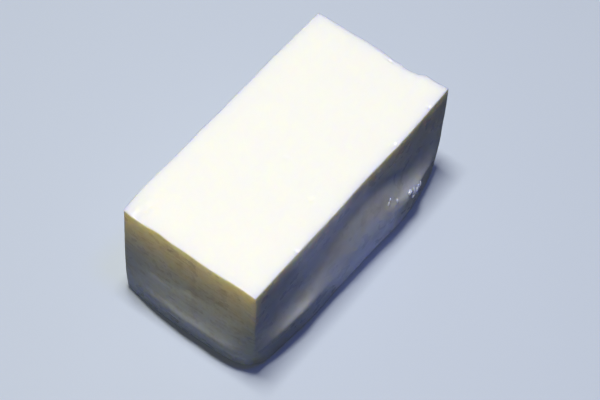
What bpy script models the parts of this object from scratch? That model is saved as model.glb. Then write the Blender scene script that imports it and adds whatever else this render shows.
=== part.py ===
"""Tofu block: one piece of silken tofu, cut square at its rim and slumped towards its foot.

Metres, +Z up. X runs along the block and Y across it. The origin is the middle of the flat
underside. The near long side faces -Y and the near short side faces -X.
"""

import math
from dataclasses import dataclass

import bmesh
import bpy
import numpy as np
from mathutils import Vector

# Driving dimensions: the block as it was cut, at its upper rim.
LENGTH = 0.1074
WIDTH = 0.0550
HEIGHT = 0.0462

RIM_RADIUS = 0.0004  # the knife left the rim crisp

# The grid of cuts that the block is shaped on.
CUTS_ALONG = 42
CUTS_ACROSS = 26
CUTS_UP = 20
CROWDING = 0.70  # 0 spaces the cuts evenly, 1 crowds them to the edges as a cosine does

# Shares of the height.
SOFT_ZONE = 0.45  # the upright corners turn from their foot radius to their rim radius in it
RIM_REACH = 0.60  # how far down the rim's own line is felt

# Shares of the half-width or half-length.
SKIN = 0.35  # how deep a side's relief reaches into the block

HOLLOW_POWER = 4.0  # how squarely a hollow holds its depth along its side
TINY = 1e-9  # keeps a division from meeting zero

TOFU_COLOUR = (0.915, 0.885, 0.790, 1.0)
TOFU_ROUGHNESS = 0.30


@dataclass(frozen=True)
class Corner:
    """Radii of one upright corner, and of the edge that it stands on."""

    rim: float
    foot: float
    underside: float


@dataclass(frozen=True)
class Side:
    """Relief of one upright side: how far it stands out from the plane that it was cut in, in metres.

    A tuple holds values at places spaced evenly along the side, towards +X or +Y, and a smooth
    line joins them. Levels run from 0 at the foot to 1 at the rim.
    """

    faces: int  # 1 or -1: which way it faces along its axis
    rim: tuple  # out, at the rim
    foot: tuple  # out, where the slump ends
    crest: tuple  # level where the slump begins
    toe: tuple  # level where it ends
    steepens: tuple  # share of the slump over which it steepens
    levels: tuple  # share of it over which it levels off again
    hollow: float  # in, halfway between rim and crest
    tuck: tuple  # in, from the toe to the underside


@dataclass(frozen=True)
class Chip:
    """A place on the far short rim that broke away or, with negative sizes, a crumb that stands up."""

    at: float  # metres along the rim
    width: float
    back: float
    drop: float


NEAR_LONG = Side(
    faces=-1,
    rim=(0.0, 0.00015, 0.00035, 0.0006, 0.0005, 0.0006, 0.0010, 0.00065, 0.0004),
    foot=(0.0009, 0.0027, 0.0038, 0.0038, 0.0044, 0.0048, 0.0052, 0.0032, 0.0003),
    crest=(0.64, 0.50, 0.66, 0.80, 0.71, 0.55, 0.74),
    toe=(0.28, 0.33, 0.26, 0.20, 0.28, 0.33, 0.28),
    steepens=(0.50, 0.80, 0.40, 0.20, 0.25, 0.85, 0.80),
    levels=(0.10, 0.08, 0.30, 0.42, 0.42, 0.08, 0.12),
    hollow=0.0004,
    tuck=(0.0002, 0.0006, 0.0003, 0.0006, 0.0005, 0.0002, 0.0001),
)
FAR_LONG = Side(
    faces=1,
    rim=(0.0004, 0.0012, 0.0009, 0.0010, 0.0008, 0.0008, 0.0008, 0.0006, 0.0002),
    foot=(0.0010, 0.0029, 0.0039, 0.0041, 0.0038, 0.0034, 0.0032, 0.0025, 0.0003),
    crest=(1.00, 0.95, 0.80),
    toe=(0.30, 0.24, 0.18),
    steepens=(0.15, 0.50, 0.40),
    levels=(0.20, 0.20, 0.20),
    hollow=0.0002,
    tuck=(0.0003, 0.0003, 0.0003),
)
NEAR_SHORT = Side(
    faces=-1,
    rim=(0.0002, -0.0001, 0.0001, 0.0001, -0.00015, -0.0001, -0.0006, -0.0001, -0.0005),
    foot=(0.0004, 0.0031, 0.0037, 0.0038, 0.0038, 0.0033, 0.0027, 0.0017, 0.0003),
    crest=(0.95, 0.90, 0.95),
    toe=(0.20, 0.22, 0.22),
    steepens=(0.85, 0.85, 0.85),
    levels=(0.06, 0.06, 0.06),
    hollow=0.0,
    tuck=(0.0010, 0.0010, 0.0001),
)
FAR_SHORT = Side(
    faces=1,
    rim=(0.0003, 0.0002, 0.0001, 0.0, -0.0001, 0.00005, -0.00005, 0.0, 0.0),
    foot=(-0.0006, 0.0014, 0.0020, 0.0023, 0.0025, 0.0026, 0.0023, 0.0015, -0.0001),
    crest=(0.80, 0.86, 0.92),
    toe=(0.24, 0.26, 0.28),
    steepens=(0.40, 0.45, 0.50),
    levels=(0.20, 0.20, 0.20),
    hollow=0.0003,
    tuck=(0.0006, 0.0006, 0.0006),
)

# Keys: which way the corner points along X and along Y.
CORNERS = {
    (-1, 1): Corner(rim=0.0008, foot=0.0008, underside=0.0010),
    (-1, -1): Corner(rim=0.0003, foot=0.0052, underside=0.0034),
    (1, -1): Corner(rim=0.0003, foot=0.0088, underside=0.0060),
    (1, 1): Corner(rim=0.0008, foot=0.0070, underside=0.0045),
}

FAR_CHIPS = (
    Chip(at=-0.0024, width=0.0019, back=0.0003, drop=0.0001),
    Chip(at=-0.0066, width=0.0028, back=0.0008, drop=0.0003),
    Chip(at=-0.0114, width=0.0022, back=0.0013, drop=0.0003),
    Chip(at=-0.0150, width=0.0019, back=0.0010, drop=0.0002),
    Chip(at=-0.0190, width=0.0016, back=-0.0002, drop=-0.0001),
)
CHIP_REACH = 0.0026  # how far in from the rim a chip reaches


def ease(t):
    """0 to 1 with level ends."""
    t = np.clip(t, 0.0, 1.0)
    return t * t * (3.0 - 2.0 * t)


def bell(t):
    """1 at 0, dying away on both sides."""
    return np.exp(-t * t)


def between(pair, share):
    return pair[0] + (pair[1] - pair[0]) * share


def ramp(t, steepens, levels):
    """0 to 1: steepens over its first share, runs on straight, and levels off over its last share."""
    t = np.clip(t, 0.0, 1.0)
    first = np.minimum(t, steepens) ** 2 / (2.0 * steepens)
    straight = np.clip(t - steepens, 0.0, 1.0 - levels - steepens)
    last = np.clip((t - 1.0 + levels) / levels, 0.0, 1.0)
    rise = first + straight + levels * last * (1.0 - last / 2.0)
    return rise / (1.0 - steepens / 2.0 - levels / 2.0)


def curve(values, place):
    """The height at a place, from -1 to 1, of a smooth line through evenly spaced values."""
    first, last = 2 * values[0] - values[1], 2 * values[-1] - values[-2]
    knots = np.array((first, *values, last))
    spot = (place + 1.0) / 2.0 * (len(values) - 1)
    before = np.clip(np.floor(spot).astype(int), 0, len(values) - 2)
    t = spot - before
    a, b, c, d = (knots[before + step] for step in range(4))
    bend = 2 * a - 5 * b + 4 * c - d
    return b + t / 2 * (c - a + t * (bend + t * (3 * (b - c) + d - a)))


def stations(half, count):
    """Places from -half to half, closer together towards both ends."""
    even = np.linspace(-1.0, 1.0, count + 1)
    crowded = -np.cos(np.linspace(0.0, math.pi, count + 1))
    return half * ((1.0 - CROWDING) * even + CROWDING * crowded)


def by_corner(field, along, across):
    """A radius at each point, blended between the four corners."""
    total = np.zeros(len(along))
    for (x_sign, y_sign), corner in CORNERS.items():
        total += getattr(corner, field) * (1 + x_sign * along) * (1 + y_sign * across) / 4
    return total


def rolled(depth, level, radius):
    """Rolls a square edge: takes distances in from its two faces, gives the new ones."""
    out_depth = np.maximum(radius - depth, 0.0)
    out_level = np.maximum(radius - level, 0.0)
    reach = np.maximum(out_depth, out_level)
    length = np.maximum(np.hypot(out_depth, out_level), TINY)
    scale = np.where(reach > 0.0, reach / length, 1.0)
    new_depth = np.where(out_depth > 0.0, radius - out_depth * scale, depth)
    new_level = np.where(out_level > 0.0, radius - out_level * scale, level)
    return new_depth, new_level


def softened(points):
    """The sharp block with its rim, its underside's edge and its upright corners rolled."""
    half = np.array([LENGTH / 2, WIDTH / 2])
    along, across = points[:, 0] / half[0], points[:, 1] / half[1]
    depth = (half - np.abs(points[:, :2])).min(axis=1)
    new_depth, height = rolled(depth, points[:, 2], by_corner("underside", along, across))
    new_depth, below_rim = rolled(new_depth, HEIGHT - height, RIM_RADIUS)
    height = HEIGHT - below_rim
    inset = np.maximum(half - depth[:, None], TINY)
    plan = points[:, :2] * (half - new_depth[:, None]) / inset

    rise = ease(height / (SOFT_ZONE * HEIGHT))
    radius = between((by_corner("foot", along, across), by_corner("rim", along, across)), rise)
    core = np.clip(plan, radius[:, None] - half, half - radius[:, None])
    out = plan - core
    reach = np.abs(out).max(axis=1)
    length = np.maximum(np.hypot(out[:, 0], out[:, 1]), TINY)
    plan = core + out * (reach / length)[:, None]
    return np.column_stack([plan, height])


def relief(side, place, level):
    """How far a side stands out at a place along it and a level."""
    place = np.clip(place, -1.0, 1.0)
    crest, toe = curve(side.crest, place), curve(side.toe, place)
    down = (crest - level) / (crest - toe)
    slump = ramp(down, curve(side.steepens, place), curve(side.levels, place))
    hollow = side.hollow * (1.0 - np.abs(place) ** HOLLOW_POWER)
    return (
        curve(side.rim, place) * ease(1.0 - (1.0 - level) / RIM_REACH)
        + curve(side.foot, place) * slump
        - curve(side.tuck, place) * ease((toe - level) / toe)
        - hollow * bell((level - (1.0 + crest) / 2.0) / np.maximum(1.0 - crest, TINY) * 2.0)
    )


def slumped(points):
    """The four sides moved out by their relief, which dies away inside the block."""
    along, across = 2.0 * points[:, 0] / LENGTH, 2.0 * points[:, 1] / WIDTH
    level = points[:, 2] / HEIGHT
    moved = points.copy()
    for side in (NEAR_SHORT, FAR_SHORT):
        depth = (1.0 - side.faces * along) * LENGTH / WIDTH
        moved[:, 0] += side.faces * ease(1.0 - depth / SKIN) * relief(side, across, level)
    for side in (NEAR_LONG, FAR_LONG):
        depth = 1.0 - side.faces * across
        moved[:, 1] += side.faces * ease(1.0 - depth / SKIN) * relief(side, along, level)
    return moved


def chipped(points):
    """The far short rim with its chips broken out."""
    moved = points.copy()
    from_rim = np.hypot(LENGTH / 2 - points[:, 0], HEIGHT - points[:, 2])
    for chip in FAR_CHIPS:
        depth = bell(((points[:, 1] - chip.at) / chip.width) ** 2) * bell(from_rim / CHIP_REACH)
        moved[:, 0] -= chip.back * depth
        moved[:, 2] -= chip.drop * depth
    return moved


def centred(points):
    """Puts the origin in the middle of the underside."""
    lowest, highest = points.min(axis=0), points.max(axis=0)
    middle = (lowest + highest) / 2
    return points - (middle[0], middle[1], lowest[2])


def tofu_shape():
    """A cube of the block's size, cut into a grid and shaped."""
    shape = bmesh.new()
    bmesh.ops.create_cube(shape, size=1.0)
    bmesh.ops.scale(shape, vec=(LENGTH, WIDTH, HEIGHT), verts=shape.verts)
    bmesh.ops.translate(shape, vec=(0.0, 0.0, HEIGHT / 2), verts=shape.verts)
    cuts = (
        (Vector((1, 0, 0)), stations(LENGTH / 2, CUTS_ALONG)),
        (Vector((0, 1, 0)), stations(WIDTH / 2, CUTS_ACROSS)),
        (Vector((0, 0, 1)), stations(HEIGHT / 2, CUTS_UP) + HEIGHT / 2),
    )
    for axis, places in cuts:
        for place in places[1:-1]:
            everything = shape.verts[:] + shape.edges[:] + shape.faces[:]
            bmesh.ops.bisect_plane(shape, geom=everything, plane_co=axis * float(place), plane_no=axis)
    points = np.array([vert.co for vert in shape.verts], dtype=float)
    points = centred(chipped(slumped(softened(points))))
    for vert, point in zip(shape.verts, points):
        vert.co = Vector(point)
    return shape


def tofu_material():
    material = bpy.data.materials.new("tofu")
    material.use_nodes = True
    shader = material.node_tree.nodes["Principled BSDF"]
    shader.inputs["Base Color"].default_value = TOFU_COLOUR
    shader.inputs["Roughness"].default_value = TOFU_ROUGHNESS
    shader.inputs["Metallic"].default_value = 0.0
    return material


def main():
    for old in list(bpy.data.objects):
        bpy.data.objects.remove(old)
    mesh = bpy.data.meshes.new("tofu_block")
    shape = tofu_shape()
    shape.to_mesh(mesh)
    shape.free()
    mesh.shade_smooth()
    mesh.materials.append(tofu_material())
    bpy.context.scene.collection.objects.link(bpy.data.objects.new("tofu_block", mesh))


main()
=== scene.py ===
import math
from dataclasses import dataclass

import bmesh
import bpy
import numpy as np
from mathutils import Matrix, Vector, noise
from mathutils.bvhtree import BVHTree


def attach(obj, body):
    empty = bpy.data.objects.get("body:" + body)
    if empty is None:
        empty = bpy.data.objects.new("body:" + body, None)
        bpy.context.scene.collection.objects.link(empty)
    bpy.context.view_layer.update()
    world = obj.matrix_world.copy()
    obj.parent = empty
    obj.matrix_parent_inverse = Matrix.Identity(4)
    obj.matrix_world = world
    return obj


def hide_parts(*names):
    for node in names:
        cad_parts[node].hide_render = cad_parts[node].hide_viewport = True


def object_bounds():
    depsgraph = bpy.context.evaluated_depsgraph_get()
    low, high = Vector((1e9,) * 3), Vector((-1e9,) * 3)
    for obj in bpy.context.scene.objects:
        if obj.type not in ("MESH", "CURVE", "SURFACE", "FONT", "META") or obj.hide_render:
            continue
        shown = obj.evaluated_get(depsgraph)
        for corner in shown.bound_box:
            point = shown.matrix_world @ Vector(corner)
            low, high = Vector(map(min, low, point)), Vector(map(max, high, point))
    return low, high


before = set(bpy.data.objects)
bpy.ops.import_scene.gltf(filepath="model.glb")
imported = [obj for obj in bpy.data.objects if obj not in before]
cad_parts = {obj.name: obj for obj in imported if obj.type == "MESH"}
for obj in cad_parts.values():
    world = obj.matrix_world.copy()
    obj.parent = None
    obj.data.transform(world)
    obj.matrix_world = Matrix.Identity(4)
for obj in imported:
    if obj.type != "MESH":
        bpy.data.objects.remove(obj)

CAD_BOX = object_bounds()

# Looks of the tofu block: its fine skin, its moist translucent curd and the wet crumbs on it,
# standing on a pale floor in soft light. Metres, +Z up, in the solid's own frame. The near long
# side faces -Y and the near short side faces -X.

# The block as it was cut, at its upper rim, in metres. The relief below repeats the solid's.
LENGTH = 0.1074
WIDTH = 0.0550
HEIGHT = 0.0462
RIM_RADIUS = 0.0004

# The grid that the skin is shaped on, about 0.5 mm a cell.
CUTS = (196, 104, 86)
CROWDING = 0.55  # 0 spaces the cuts evenly, 1 crowds them to the edges as a cosine does

# Shares of the height.
SOFT_ZONE = 0.45  # the upright corners turn from their foot radius to their rim radius in it
RIM_REACH = 0.60  # how far down the rim's own line is felt

# Shares of the half-width or half-length.
SKIN = 0.35  # how deep a side's relief reaches into the block

HOLLOW_POWER = 4.0  # how squarely a hollow holds its depth along its side
TINY = 1e-9  # keeps a division from meeting zero


@dataclass(frozen=True)
class Corner:
    """Radii of one upright corner, and of the edge that it stands on."""

    rim: float
    foot: float
    underside: float


@dataclass(frozen=True)
class Side:
    """Relief of one upright side: how far it stands out from the plane that it was cut in.

    Distances are in metres. A tuple holds values at places spaced evenly along the side, towards
    +X or +Y, and a smooth line joins them. Levels run from 0 at the foot to 1 at the rim.
    """

    faces: int  # 1 or -1: which way it faces along its axis
    rim: tuple  # out, at the rim
    foot: tuple  # out, where the slump ends
    crest: tuple  # level where the slump begins
    toe: tuple  # level where it ends
    steepens: tuple  # share of the slump over which it steepens
    levels: tuple  # share of it over which it levels off again
    hollow: float  # in, halfway between rim and crest
    tuck: tuple  # in, from the toe to the underside


@dataclass(frozen=True)
class Chip:
    """A place on the far short rim that broke away or, with negative depths, stands up."""

    at: float  # metres along the rim
    width: float
    back: float  # how far it goes in
    drop: float  # how far it goes down


NEAR_LONG = Side(
    faces=-1,
    rim=(0.0, 0.00015, 0.00035, 0.0006, 0.0005, 0.0006, 0.0010, 0.00065, 0.0004),
    foot=(0.0009, 0.0027, 0.0038, 0.0038, 0.0044, 0.0048, 0.0052, 0.0032, 0.0003),
    crest=(0.64, 0.50, 0.66, 0.80, 0.71, 0.55, 0.74),
    toe=(0.28, 0.33, 0.26, 0.20, 0.28, 0.33, 0.28),
    steepens=(0.50, 0.80, 0.40, 0.20, 0.25, 0.85, 0.80),
    levels=(0.10, 0.08, 0.30, 0.42, 0.42, 0.08, 0.12),
    hollow=0.0004,
    tuck=(0.0002, 0.0006, 0.0003, 0.0006, 0.0005, 0.0002, 0.0001),
)
FAR_LONG = Side(
    faces=1,
    rim=(0.0004, 0.0012, 0.0009, 0.0010, 0.0008, 0.0008, 0.0008, 0.0006, 0.0002),
    foot=(0.0010, 0.0029, 0.0039, 0.0041, 0.0038, 0.0034, 0.0032, 0.0025, 0.0003),
    crest=(1.00, 0.95, 0.80),
    toe=(0.30, 0.24, 0.18),
    steepens=(0.15, 0.50, 0.40),
    levels=(0.20, 0.20, 0.20),
    hollow=0.0002,
    tuck=(0.0003, 0.0003, 0.0003),
)
NEAR_SHORT = Side(
    faces=-1,
    rim=(0.0002, -0.0001, 0.0001, 0.0001, -0.00015, -0.0001, -0.0006, -0.0001, -0.0005),
    foot=(0.0004, 0.0031, 0.0037, 0.0038, 0.0038, 0.0033, 0.0027, 0.0017, 0.0003),
    crest=(0.95, 0.90, 0.95),
    toe=(0.20, 0.22, 0.22),
    steepens=(0.85, 0.85, 0.85),
    levels=(0.06, 0.06, 0.06),
    hollow=0.0,
    tuck=(0.0010, 0.0010, 0.0001),
)
FAR_SHORT = Side(
    faces=1,
    rim=(0.0003, 0.0002, 0.0001, 0.0, -0.0001, 0.00005, -0.00005, 0.0, 0.0),
    foot=(-0.0006, 0.0014, 0.0020, 0.0023, 0.0025, 0.0026, 0.0023, 0.0015, -0.0001),
    crest=(0.80, 0.86, 0.92),
    toe=(0.24, 0.26, 0.28),
    steepens=(0.40, 0.45, 0.50),
    levels=(0.20, 0.20, 0.20),
    hollow=0.0003,
    tuck=(0.0006, 0.0006, 0.0006),
)

# Keys: which way the corner points along X and along Y.
CORNERS = {
    (-1, 1): Corner(rim=0.0008, foot=0.0008, underside=0.0010),
    (-1, -1): Corner(rim=0.0003, foot=0.0052, underside=0.0034),
    (1, -1): Corner(rim=0.0003, foot=0.0088, underside=0.0060),
    (1, 1): Corner(rim=0.0008, foot=0.0070, underside=0.0045),
}

FAR_CHIPS = (
    Chip(at=-0.0024, width=0.0019, back=0.0003, drop=0.0001),
    Chip(at=-0.0066, width=0.0028, back=0.0008, drop=0.0003),
    Chip(at=-0.0114, width=0.0022, back=0.0013, drop=0.0003),
    Chip(at=-0.0150, width=0.0019, back=0.0010, drop=0.0002),
    Chip(at=-0.0190, width=0.0016, back=-0.0002, drop=-0.0001),
)
CHIP_REACH = 0.0026  # how far in from the rim a chip reaches

# Which faces the skin's lumps and folds show on, by a part of the face's unit normal.
TOP_FROM = 0.3  # upward part where the top's lumps begin
SIDES_UP_TO = 0.8  # upward part where the sides' lumps have gone
FACING_BLEND = 0.4  # change in it over which lumps fade in or out
FOLD_FROM = 0.55  # part towards its own side where a fold begins
FOLD_BLEND = 0.25  # change in it over which a fold fades in

FOOT_CALM = 0.003  # metres of height over which the sides' lumps fade in
FOLD_ENDS = 0.25  # share of a fold's length over which each of its ends dies away


def ease(t):
    """0 to 1 with level ends."""
    t = np.clip(t, 0.0, 1.0)
    return t * t * (3.0 - 2.0 * t)


def bell(t):
    """1 at 0, dying away on both sides."""
    return np.exp(-t * t)


def between(pair, share):
    """The value a share of the way from the pair's first to its second."""
    return pair[0] + (pair[1] - pair[0]) * share


def ramp(t, steepens, levels):
    """0 to 1: steepens over its first share, runs on straight, levels off over its last."""
    t = np.clip(t, 0.0, 1.0)
    first = np.minimum(t, steepens) ** 2 / (2.0 * steepens)
    straight = np.clip(t - steepens, 0.0, 1.0 - levels - steepens)
    last = np.clip((t - 1.0 + levels) / levels, 0.0, 1.0)
    rise = first + straight + levels * last * (1.0 - last / 2.0)
    return rise / (1.0 - steepens / 2.0 - levels / 2.0)


def curve(values, place):
    """The height at a place, from -1 to 1, of a smooth line through evenly spaced values."""
    first, last = 2 * values[0] - values[1], 2 * values[-1] - values[-2]
    knots = np.array((first, *values, last))
    spot = (place + 1.0) / 2.0 * (len(values) - 1)
    before = np.clip(np.floor(spot).astype(int), 0, len(values) - 2)
    t = spot - before
    a, b, c, d = (knots[before + step] for step in range(4))
    bend = 2 * a - 5 * b + 4 * c - d
    return b + t / 2 * (c - a + t * (bend + t * (3 * (b - c) + d - a)))


def stations(half, count):
    """Places from -half to half, closer together towards both ends."""
    even = np.linspace(-1.0, 1.0, count + 1)
    crowded = -np.cos(np.linspace(0.0, math.pi, count + 1))
    return half * ((1.0 - CROWDING) * even + CROWDING * crowded)


def by_corner(field, along, across):
    """A radius at each point, blended between the four corners."""
    total = np.zeros(len(along))
    for (x_sign, y_sign), corner in CORNERS.items():
        total += getattr(corner, field) * (1 + x_sign * along) * (1 + y_sign * across) / 4
    return total


def rolled(depth, level, radius):
    """Rolls a square edge: takes distances in from its two faces, gives the new ones."""
    out_depth = np.maximum(radius - depth, 0.0)
    out_level = np.maximum(radius - level, 0.0)
    reach = np.maximum(out_depth, out_level)
    length = np.maximum(np.hypot(out_depth, out_level), TINY)
    scale = np.where(reach > 0.0, reach / length, 1.0)
    new_depth = np.where(out_depth > 0.0, radius - out_depth * scale, depth)
    new_level = np.where(out_level > 0.0, radius - out_level * scale, level)
    return new_depth, new_level


def softened(points):
    """The sharp block with its rim, its underside's edge and its upright corners rolled."""
    half = np.array([LENGTH / 2, WIDTH / 2])
    along, across = points[:, 0] / half[0], points[:, 1] / half[1]
    depth = (half - np.abs(points[:, :2])).min(axis=1)
    new_depth, height = rolled(depth, points[:, 2], by_corner("underside", along, across))
    new_depth, below_rim = rolled(new_depth, HEIGHT - height, RIM_RADIUS)
    height = HEIGHT - below_rim
    inset = np.maximum(half - depth[:, None], TINY)
    plan = points[:, :2] * (half - new_depth[:, None]) / inset

    rise = ease(height / (SOFT_ZONE * HEIGHT))
    radius = between((by_corner("foot", along, across), by_corner("rim", along, across)), rise)
    core = np.clip(plan, radius[:, None] - half, half - radius[:, None])
    out = plan - core
    reach = np.abs(out).max(axis=1)
    length = np.maximum(np.hypot(out[:, 0], out[:, 1]), TINY)
    plan = core + out * (reach / length)[:, None]
    return np.column_stack([plan, height])


def relief(side, place, level):
    """How far a side stands out at a place along it and a level."""
    place = np.clip(place, -1.0, 1.0)
    crest, toe = curve(side.crest, place), curve(side.toe, place)
    down = (crest - level) / (crest - toe)
    slump = ramp(down, curve(side.steepens, place), curve(side.levels, place))
    hollow = side.hollow * (1.0 - np.abs(place) ** HOLLOW_POWER)
    return (
        curve(side.rim, place) * ease(1.0 - (1.0 - level) / RIM_REACH)
        + curve(side.foot, place) * slump
        - curve(side.tuck, place) * ease((toe - level) / toe)
        - hollow * bell((level - (1.0 + crest) / 2.0) / np.maximum(1.0 - crest, TINY) * 2.0)
    )


def slumped(points):
    """The four sides moved out by their relief, which dies away inside the block."""
    along, across = 2.0 * points[:, 0] / LENGTH, 2.0 * points[:, 1] / WIDTH
    level = points[:, 2] / HEIGHT
    moved = points.copy()
    for side in (NEAR_SHORT, FAR_SHORT):
        depth = (1.0 - side.faces * along) * LENGTH / WIDTH
        moved[:, 0] += side.faces * ease(1.0 - depth / SKIN) * relief(side, across, level)
    for side in (NEAR_LONG, FAR_LONG):
        depth = 1.0 - side.faces * across
        moved[:, 1] += side.faces * ease(1.0 - depth / SKIN) * relief(side, along, level)
    return moved


def chipped(points):
    """The far short rim with its chips broken out."""
    moved = points.copy()
    from_rim = np.hypot(LENGTH / 2 - points[:, 0], HEIGHT - points[:, 2])
    for chip in FAR_CHIPS:
        depth = bell(((points[:, 1] - chip.at) / chip.width) ** 2) * bell(from_rim / CHIP_REACH)
        moved[:, 0] -= chip.back * depth
        moved[:, 2] -= chip.drop * depth
    return moved


def box_grid(cuts):
    """The surface of a box as whole-number corners and the quads between them."""
    quads = []
    for axis in range(3):
        across, up = (axis + 1) % 3, (axis + 2) % 3
        first, second = np.meshgrid(np.arange(cuts[across]), np.arange(cuts[up]), indexing="ij")
        for end in (0, cuts[axis]):
            corners = np.empty((first.size, 4, 3), dtype=int)
            corners[:, :, axis] = end
            corners[:, :, across] = first.reshape(-1, 1) + (0, 1, 1, 0)
            corners[:, :, up] = second.reshape(-1, 1) + (0, 0, 1, 1)
            quads.append(corners if end else corners[:, ::-1])
    quads = np.concatenate(quads)
    corners, index = np.unique(quads.reshape(-1, 3), axis=0, return_inverse=True)
    return corners, index.reshape(-1, 4)


@dataclass(frozen=True)
class Mark:
    """A small place on the skin that stands out or, with a negative out, is sunk."""

    at: tuple  # X, Y and Z
    size: tuple  # half-widths along X, Y and Z
    out: float


@dataclass(frozen=True)
class Fold:
    """A crease across an upright side: the skin steps out below it and sinks back lower down."""

    side: str  # "long" or "short", of the near sides
    start: tuple  # X or Y, and Z
    end: tuple
    out: float
    rise: float  # how far below its line it has stepped out
    fall: float  # how gently it sinks back below that


@dataclass(frozen=True)
class Grain:
    """Soft lumps over the sides or the top. Their size runs along X, Y and Z."""

    size: tuple
    out: float
    face: str  # "sides" or "top"
    seed: float


FOLD_AXES = {"long": 0, "short": 1}  # the axis that each near side runs along
FOLDS = (
    Fold("long", (-0.0500, 0.0150), (-0.0240, 0.0180), out=0.0004, rise=0.0018, fall=0.0045),
    Fold("long", (-0.0270, 0.0170), (-0.0120, 0.0290), out=0.00025, rise=0.0022, fall=0.0060),
    Fold("long", (0.0120, 0.0235), (0.0400, 0.0165), out=0.0003, rise=0.0024, fall=0.0060),
    Fold("long", (-0.0200, 0.0345), (0.0280, 0.0340), out=0.0006, rise=0.0090, fall=0.0160),
    Fold("short", (-0.0270, 0.0152), (0.0290, 0.0120), out=0.0002, rise=0.0032, fall=0.0050),
    Fold("short", (-0.0120, 0.0270), (0.0270, 0.0200), out=0.0002, rise=0.0030, fall=0.0060),
    Fold("short", (-0.0340, 0.0340), (-0.0040, 0.0320), out=0.0004, rise=0.0130, fall=0.0120),
)

RIM = HEIGHT
MARKS = (
    # Nicks and crumbs on the near long rim.
    Mark((-0.0315, -0.0270, RIM), (0.0008, 0.0010, 0.0010), -0.0003),
    Mark((-0.0345, -0.0262, RIM), (0.0006, 0.0006, 0.0010), 0.0001),
    Mark((0.0228, -0.0272, RIM), (0.0008, 0.0009, 0.0010), -0.0005),
    Mark((0.0430, -0.0273, RIM), (0.0007, 0.0008, 0.0010), -0.0004),
    Mark((-0.0120, -0.0275, RIM), (0.0009, 0.0006, 0.0008), -0.0002),
    Mark((0.0060, -0.0275, RIM), (0.0012, 0.0006, 0.0008), -0.0002),
    # A crack in the far short rim.
    Mark((0.0514, -0.0050, RIM), (0.0006, 0.0014, 0.0020), -0.0004),
    # Pits in the cut top, and a crumb beside one of them.
    Mark((-0.0122, -0.0184, RIM), (0.0007, 0.0007, 0.0030), -0.0003),
    Mark((-0.0103, -0.0182, RIM), (0.0006, 0.0006, 0.0030), 0.0001),
    Mark((-0.0037, -0.0016, RIM), (0.0006, 0.0006, 0.0030), -0.0003),
    # The far left corner, where the knife lifted a sliver.
    Mark((-0.0500, 0.0242, RIM), (0.0040, 0.0012, 0.0030), 0.0004),
    Mark((-0.0490, 0.0216, RIM), (0.0040, 0.0010, 0.0030), -0.0003),
    # A dent in the near short side, and crumbs near its rim.
    Mark((-0.0545, -0.0004, 0.0260), (0.0040, 0.0010, 0.0012), -0.0005),
    Mark((-0.0540, 0.0124, 0.0393), (0.0040, 0.0008, 0.0006), 0.0002),
    Mark((-0.0540, -0.0189, 0.0366), (0.0040, 0.0007, 0.0006), 0.0002),
    Mark((-0.0540, -0.0241, 0.0367), (0.0040, 0.0006, 0.0006), 0.0002),
    # The near long side: blotches in the upper band, dents and crumbs in the belly.
    Mark((0.0248, -0.0275, 0.0322), (0.0045, 0.0060, 0.0040), -0.0003),
    Mark((0.0433, -0.0275, 0.0377), (0.0013, 0.0060, 0.0014), -0.0005),
    Mark((0.0457, -0.0275, 0.0320), (0.0009, 0.0060, 0.0008), 0.0004),
    Mark((-0.0013, -0.0310, 0.0136), (0.0040, 0.0060, 0.0025), -0.0004),
    Mark((-0.0108, -0.0310, 0.0166), (0.0040, 0.0060, 0.0025), -0.0003),
    Mark((-0.0032, -0.0310, 0.0172), (0.0010, 0.0060, 0.0008), 0.0004),
    Mark((0.0020, -0.0310, 0.0070), (0.0010, 0.0060, 0.0007), 0.0004),
    Mark((-0.0037, -0.0290, 0.0260), (0.0006, 0.0060, 0.0060), -0.0002),
    Mark((-0.0022, -0.0290, 0.0260), (0.0007, 0.0060, 0.0060), 0.0002),
)

GRAINS = (
    Grain((0.0140, 0.0140, 0.0140), 0.00014, "sides", 3.1),
    Grain((0.0200, 0.0200, 0.0200), 0.00006, "top", 5.7),
    Grain((0.0042, 0.0042, 0.0042), 0.000045, "sides", 11.3),
    Grain((0.0150, 0.0150, 0.0018), 0.00005, "sides", 17.9),
    Grain((0.0016, 0.0016, 0.0016), 0.000012, "sides", 23.5),
    Grain((0.0030, 0.0030, 0.0030), 0.000012, "top", 29.3),
)


def grain(points, size, seed):
    """Smooth noise from about -1 to 1 at each point."""
    scaled = points / np.array(size) + seed
    return np.array([noise.noise(Vector(point)) for point in scaled])


def creased(points, fold):
    """How far a fold moves each point out."""
    axis = FOLD_AXES[fold.side]
    (x, z), (end_x, end_z) = fold.start, fold.end
    run, climb = end_x - x, end_z - z
    length = math.hypot(run, climb)
    right, up = points[:, axis] - x, points[:, 2] - z
    share = (right * run + up * climb) / length**2
    below = (right * climb - up * run) / length
    step = ease(below / fold.rise) * bell(np.maximum(below - fold.rise, 0.0) / fold.fall)
    return fold.out * step * ease(share / FOLD_ENDS) * ease((1.0 - share) / FOLD_ENDS)


def skin(points, normals):
    """How far the fine relief moves each point out along its normal."""
    shows = {
        "top": ease((normals[:, 2] - TOP_FROM) / FACING_BLEND),
        "sides": ease((SIDES_UP_TO - np.abs(normals[:, 2])) / FACING_BLEND)
        * ease(points[:, 2] / FOOT_CALM),
    }
    out = np.zeros(len(points))
    for lumps in GRAINS:
        out += lumps.out * shows[lumps.face] * grain(points, lumps.size, lumps.seed)
    for mark in MARKS:
        reach = ((points - np.array(mark.at)) / np.array(mark.size)) ** 2
        out += mark.out * np.exp(-reach.sum(axis=1))
    for fold in FOLDS:
        faces = ease((-normals[:, 1 - FOLD_AXES[fold.side]] - FOLD_FROM) / FOLD_BLEND)
        out += faces * creased(points, fold)
    return out


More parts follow.
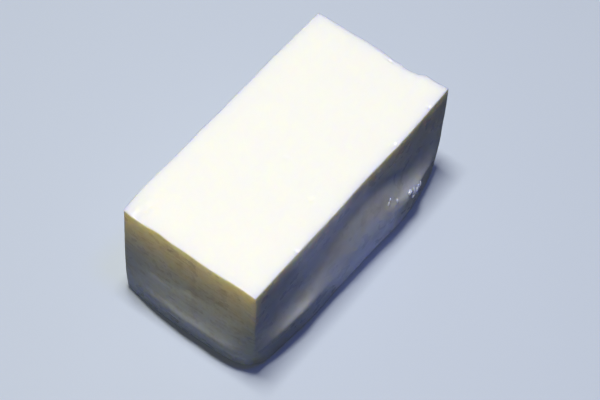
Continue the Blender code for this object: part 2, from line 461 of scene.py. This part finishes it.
def block_mesh():
    """The block, shaped from its grid as the solid is, and then given its skin."""
    corners, quads = box_grid(CUTS)
    halves = (LENGTH / 2, WIDTH / 2, HEIGHT / 2)
    points = np.empty(corners.shape)
    for axis, (half, cuts) in enumerate(zip(halves, CUTS)):
        points[:, axis] = stations(half, cuts)[corners[:, axis]]
    points[:, 2] += HEIGHT / 2
    points = chipped(slumped(softened(points)))
    mesh = bpy.data.meshes.new("tofu")
    mesh.from_pydata(points, [], quads)
    normals = np.array([vert.normal for vert in mesh.vertices])
    points = points + normals * skin(points, normals)[:, None]
    mesh.vertices.foreach_set("co", points.ravel())
    mesh.update()
    return mesh


def shift_to_solid(mesh):
    """The way from where a mesh was shaped to where the solid stands."""
    points = np.array([vert.co for vert in mesh.vertices])
    lowest, highest = points.min(axis=0), points.max(axis=0)
    cad_lowest, cad_highest = (np.array(corner) for corner in CAD_BOX)
    way = (cad_lowest + cad_highest) / 2 - (lowest + highest) / 2
    way[2] = cad_lowest[2] - lowest[2]
    return way


def placed(name, data):
    """A new object in the scene."""
    thing = bpy.data.objects.new(name, data)
    bpy.context.scene.collection.objects.link(thing)
    return thing


def new_material(name, sockets):
    """A Principled BSDF material with the given values on its sockets."""
    material = bpy.data.materials.new(name)
    material.use_nodes = True
    shader = material.node_tree.nodes["Principled BSDF"]
    for socket, value in sockets.items():
        shader.inputs[socket].default_value = value
    return material


tofu_mesh = block_mesh()
shift = shift_to_solid(tofu_mesh)
tofu_mesh.transform(Matrix.Translation(Vector(shift)))
tofu_mesh.shade_smooth()
tofu = placed("tofu", tofu_mesh)

CURD = {
    "Subsurface Weight": 1.0,
    "Subsurface Radius": (1.0, 0.90, 0.35),  # red goes deepest, so what comes out is warm
    "Subsurface Scale": 0.004,
    "Coat Weight": 0.3,
    "Coat Roughness": 0.12,
}
# The curd's colour from its dullest tone to its cleanest.
DULL = (0.72, 0.68, 0.60, 1)
USUAL = (0.93, 0.905, 0.84, 1)
CLEAN = (1.0, 0.985, 0.96, 1)
FLUSH = (1.0, 0.96, 0.80, 1)  # multiplies the colour where the curd is yellower
FLUSH_SHARE = 0.15  # how far an average place is flushed
ROUGHNESS = 0.32
BUMP = {"Strength": 0.5, "Distance": 0.0001}


def tofu_material():
    """Moist curd, whose tone, sheen and pores vary over the sides."""
    material = new_material("tofu_curd", CURD)
    nodes, links = material.node_tree.nodes, material.node_tree.links
    shader = nodes["Principled BSDF"]
    place = nodes.new("ShaderNodeTexCoord").outputs["Object"]

    def sums(kind, first, second):
        """One step of arithmetic. A value is a number or another node's output."""
        node = nodes.new("ShaderNodeMath")
        node.operation = kind
        for socket, value in zip(node.inputs, (first, second)):
            if isinstance(value, float):
                socket.default_value = value
            else:
                links.new(value, socket)
        return node.outputs[0]

    def lumps(scale, detail, weight):
        """Noise around 0. A scale is lumps per metre along X, Y and Z."""
        stretch = nodes.new("ShaderNodeVectorMath")
        stretch.operation = "MULTIPLY"
        stretch.inputs[1].default_value = scale
        links.new(place, stretch.inputs[0])
        speckle = nodes.new("ShaderNodeTexNoise")
        speckle.inputs["Scale"].default_value = 1.0
        speckle.inputs["Detail"].default_value = detail
        links.new(stretch.outputs[0], speckle.inputs["Vector"])
        return sums("MULTIPLY", sums("SUBTRACT", speckle.outputs[0], 0.5), weight)

    def scaled(value, low, high, to_low, to_high):
        """A value from low to high, as one from to_low to to_high."""
        node = nodes.new("ShaderNodeMapRange")
        ends = {"From Min": low, "From Max": high, "To Min": to_low, "To Max": to_high}
        for socket, number in ends.items():
            node.inputs[socket].default_value = number
        links.new(value, node.inputs["Value"])
        return node.outputs[0]

    facing = nodes.new("ShaderNodeSeparateXYZ")
    links.new(nodes.new("ShaderNodeNewGeometry").outputs["Normal"], facing.inputs[0])
    upright = scaled(sums("ABSOLUTE", facing.outputs["Z"], 0.0), 0.4, 0.9, 1.0, 0.0)

    # Strokes, curds, pores and flushes show on the short sides. The long ones are smoother.
    blotches = lumps((110.0, 110.0, 160.0), 3.0, 1.5)
    crosswise = scaled(sums("ABSOLUTE", facing.outputs["X"], 0.0), 0.2, 0.9, 0.0, 1.0)
    strokes = sums("MULTIPLY", lumps((110.0, 110.0, 900.0), 3.0, 1.3), crosswise)
    curds = sums("MULTIPLY", lumps((600.0, 600.0, 700.0), 3.0, 0.9), crosswise)
    tone = sums("ADD", blotches, sums("ADD", strokes, curds))
    tone = sums("ADD", sums("MULTIPLY", tone, upright), 0.5)

    tint = nodes.new("ShaderNodeValToRGB")
    tint.color_ramp.elements[0].color = DULL
    tint.color_ramp.elements[1].color = CLEAN
    tint.color_ramp.elements.new(0.5).color = USUAL
    links.new(tone, tint.inputs[0])

    flush = nodes.new("ShaderNodeMix")
    flush.data_type = "RGBA"
    flush.blend_type = "MULTIPLY"
    flush.inputs["B"].default_value = FLUSH
    patches = sums("ADD", lumps((140.0, 140.0, 200.0), 2.0, 2.4), FLUSH_SHARE)
    patches = sums("MULTIPLY", sums("MULTIPLY", patches, upright), crosswise)
    links.new(patches, flush.inputs["Factor"])
    links.new(tint.outputs["Color"], flush.inputs["A"])
    links.new(flush.outputs["Result"], shader.inputs["Base Color"])

    wet = sums("MULTIPLY", lumps((160.0, 160.0, 220.0), 2.0, 0.5), upright)
    links.new(sums("SUBTRACT", ROUGHNESS, wet), shader.inputs["Roughness"])

    bump = nodes.new("ShaderNodeBump")
    for socket, number in BUMP.items():
        bump.inputs[socket].default_value = number
    pores = sums("MULTIPLY", lumps((1100.0, 1100.0, 1100.0), 2.0, 1.0), crosswise)
    relief_height = sums("ADD", pores, strokes)
    links.new(sums("MULTIPLY", relief_height, upright), bump.inputs["Height"])
    links.new(bump.outputs[0], shader.inputs["Normal"])
    return material


tofu.data.materials.append(tofu_material())
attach(tofu, "root")
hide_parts("tofu_block")


@dataclass(frozen=True)
class Bead:
    """A wet crumb of curd on the near long side."""

    at: tuple  # X and Z
    size: tuple  # half its length, width and height off the skin
    turn: float  # degrees that its length climbs towards +X


BEADS = (
    Bead((0.0163, 0.0228), (0.0009, 0.00035, 0.00045), 38.0),
    Bead((0.0174, 0.0236), (0.0007, 0.00035, 0.00045), 50.0),
    Bead((0.0205, 0.0203), (0.0008, 0.0005, 0.0006), 70.0),
    Bead((0.0279, 0.0174), (0.0012, 0.0008, 0.0009), 20.0),
    Bead((0.0296, 0.0140), (0.0012, 0.0005, 0.0006), 45.0),
    Bead((0.0303, 0.0160), (0.0015, 0.0005, 0.0006), 70.0),
    Bead((0.0316, 0.0147), (0.0015, 0.0006, 0.0007), 62.0),
    Bead((0.0308, 0.0137), (0.0010, 0.0005, 0.0006), 35.0),
    Bead((0.0329, 0.0151), (0.0014, 0.0005, 0.0006), 68.0),
    Bead((0.0344, 0.0143), (0.0015, 0.0005, 0.0006), 64.0),
    Bead((0.0325, 0.0123), (0.0011, 0.0005, 0.0006), 50.0),
)


BEAD_ROUNDS = 3  # subdivisions of the ball that a crumb is made from
BEAD_LUMP = 0.25  # share of its size that a crumb's lumps stand out
BEAD_LUMPS = 1.4  # lumps over half a crumb's size
BEAD_SEED = 3.7  # sets each crumb's lumps apart from the last one's
CLEAR = -0.1  # Y of a place well in front of the near long side


def beads_mesh():
    """The wet crumbs, each laid on the skin where a line from the front meets it."""
    skin_tree = BVHTree.FromObject(tofu, bpy.context.evaluated_depsgraph_get())
    shape = bmesh.new()
    for number, bead in enumerate(BEADS):
        start = Vector((bead.at[0] + shift[0], CLEAR, bead.at[1]))
        spot, normal, _, _ = skin_tree.ray_cast(start, Vector((0, 1, 0)))
        angle = math.radians(bead.turn)
        along = Vector((math.cos(angle), 0, math.sin(angle)))
        along = (along - normal * along.dot(normal)).normalized()
        turned = Matrix((along, normal.cross(along), normal)).transposed().to_4x4()
        ball = bmesh.ops.create_icosphere(shape, subdivisions=BEAD_ROUNDS, radius=1.0)["verts"]
        apart = Vector((number * BEAD_SEED, 0.0, 0.0))
        for vert in ball:
            lump = 1.0 + BEAD_LUMP * noise.noise(vert.co * BEAD_LUMPS + apart)
            vert.co = Vector([co * half * lump for co, half in zip(vert.co, bead.size)])
        bmesh.ops.transform(shape, verts=ball, matrix=Matrix.Translation(spot) @ turned)
    mesh = bpy.data.meshes.new("wet_curds")
    shape.to_mesh(mesh)
    shape.free()
    mesh.shade_smooth()
    return mesh


# The crumbs' blue-grey Base Color is a painted reflection: a blue sheen laid into the colour of
# curd that is itself cream.
WET_CURD_AND_PAINTED_SHEEN = {
    "Base Color": (0.80, 0.83, 0.92, 1),
    "Subsurface Weight": 0.6,
    "Subsurface Radius": (1.0, 0.90, 0.5),
    "Subsurface Scale": 0.002,
    "Roughness": 0.22,
    "Coat Weight": 1.0,
    "Coat Roughness": 0.20,
    "Coat IOR": 1.6,
}
beads = placed("wet_curds", beads_mesh())
beads.data.materials.append(new_material("wet_curd", WET_CURD_AND_PAINTED_SHEEN))
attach(beads, "root")

FLOOR_HALF = 3  # half the floor's width
FLOOR_COLOUR = (0.50, 0.55, 0.64, 1)
FLOOR = {
    "Base Color": FLOOR_COLOUR,
    "Roughness": 0.6,
    "Emission Color": FLOOR_COLOUR,
    "Emission Strength": 0.07,
}


def sheet_mesh(name, outline, height):
    """One level face."""
    mesh = bpy.data.meshes.new(name)
    mesh.from_pydata([(x, y, height) for x, y in outline], [], [range(len(outline))])
    return mesh


def square(half):
    """The corners of a square around the origin, from its near left one."""
    return ((-half, -half), (half, -half), (half, half), (-half, half))


# The pale floor is for the eye alone: light passes through it to the cards below, and comes back
# up at the sides from those.
floor = placed("floor", sheet_mesh("floor", square(FLOOR_HALF), 0))
floor.data.materials.append(new_material("floor", FLOOR))
floor.visible_diffuse = False
floor.visible_glossy = False
floor.visible_shadow = False


CARD_ROUGHNESS = 0.9


def card(name, outline, height, colour):
    """A tinted sheet just under the floor's level that throws light up at the sides."""
    mesh = sheet_mesh(name, outline, height)
    mesh.materials.append(
        new_material(name, {"Base Color": (*colour, 1), "Roughness": CARD_ROUGHNESS})
    )
    sheet = placed(name, mesh)


# A dull card under and round the block, and bluer ones in front of the near sides.
card(
    "card",
    ((-0.12, -0.10), (0.12, -0.10), (0.12, 0.10), (-0.12, 0.10)),
    -0.0010,
    (0.086, 0.097, 0.112),
)
card(
    "card_long",
    ((-0.030, -0.058), (0.042, -0.058), (0.020, -0.028), (-0.006, -0.028)),
    -0.0008,
    (0.225, 0.272, 0.490),
)
card(
    "card_near",
    ((-0.054, -0.044), (-0.014, -0.044), (-0.010, -0.032), (-0.054, -0.032)),
    -0.0006,
    (0.078, 0.100, 0.190),
)
card(
    "card_short",
    ((-0.077, -0.052), (-0.053, -0.034), (-0.053, 0.034), (-0.077, 0.052)),
    -0.0008,
    (0.132, 0.165, 0.300),
)

# The camera looks down at the block along AHEAD, with the front upright edge towards it.
CAMERA_PLACE = (-0.3194, -0.2310, 0.5878)
AHEAD = (0.4636, 0.3276, -0.8233)
RIGHT = (0.6024, -0.7979, 0.0217)
LENS = 120  # millimetres, as the sensor
SENSOR_WIDTH = 36


def camera():
    """The camera, moved along the floor as far as the block was."""
    data = bpy.data.cameras.new("camera")
    view = placed("camera", data)
    data.lens = LENS
    data.sensor_width = SENSOR_WIDTH
    ahead = Vector(AHEAD).normalized()
    right = Vector(RIGHT)
    right = (right - ahead * right.dot(ahead)).normalized()
    turn = Matrix((right, right.cross(ahead), -ahead)).transposed().to_4x4()
    place = Vector(CAMERA_PLACE) + Vector((shift[0], shift[1], 0.0))
    view.matrix_world = Matrix.Translation(place) @ turn
    return view


bpy.context.scene.camera = camera()

MIDDLE = (0.0, 0.0, 0.02)  # a place inside the block that most lamps face
WIDE = 180  # degrees that a plain lamp's light spreads over


def area(name, location, size, power, colour, aim=MIDDLE, spread=WIDE):
    """An oblong lamp that faces its aim. Its power is in watts."""
    light = bpy.data.lights.new(name, "AREA")
    light.shape = "RECTANGLE"
    light.size, light.size_y = size
    light.energy = power
    light.color = colour
    light.spread = math.radians(spread)
    lamp = placed(name, light)
    lamp.location = location
    lamp.rotation_euler = (Vector(aim) - Vector(location)).to_track_quat("-Z", "Y").to_euler()


# From above: a soft white key, and a blue light that leans towards the near long side.
area("key", (0.0, 0.06, 0.9), (0.16, 0.22), 7.95, (1.0, 0.997, 0.925))
area("sky", (0.0, -0.25, 0.9), (0.16, 0.16), 0.95, (0.0, 0.12, 1.0))
# From the near short side: a narrow amber strip for its rim, and a weak yellow-green fill.
area(
    "warm_strip",
    (-0.42, -0.02, 0.086),
    (0.50, 0.012),
    0.0250,
    (1.0, 0.76, 0.30),
    aim=(-0.05, -0.006, 0.059),
    spread=11,
)
area("warm_fill", (-0.5, -0.02, 0.12), (0.3, 0.2), 0.048, (0.9, 1.0, 0.2))
# A weak blue fill from the near long side, and a pale one from behind.
area("cool_fill", (0.02, -0.45, 0.12), (0.25, 0.15), 0.012, (0.20, 0.40, 1.0))
area("back_fill", (0.45, 0.40, 0.20), (0.30, 0.30), 0.20, (0.85, 0.92, 1.0))

# No light comes from the world itself.
world = bpy.data.worlds.new("world")
world.use_nodes = True
world.node_tree.nodes["Background"].inputs["Strength"].default_value = 0.0
bpy.context.scene.world = world
bpy.context.scene.view_settings.view_transform = "Standard"
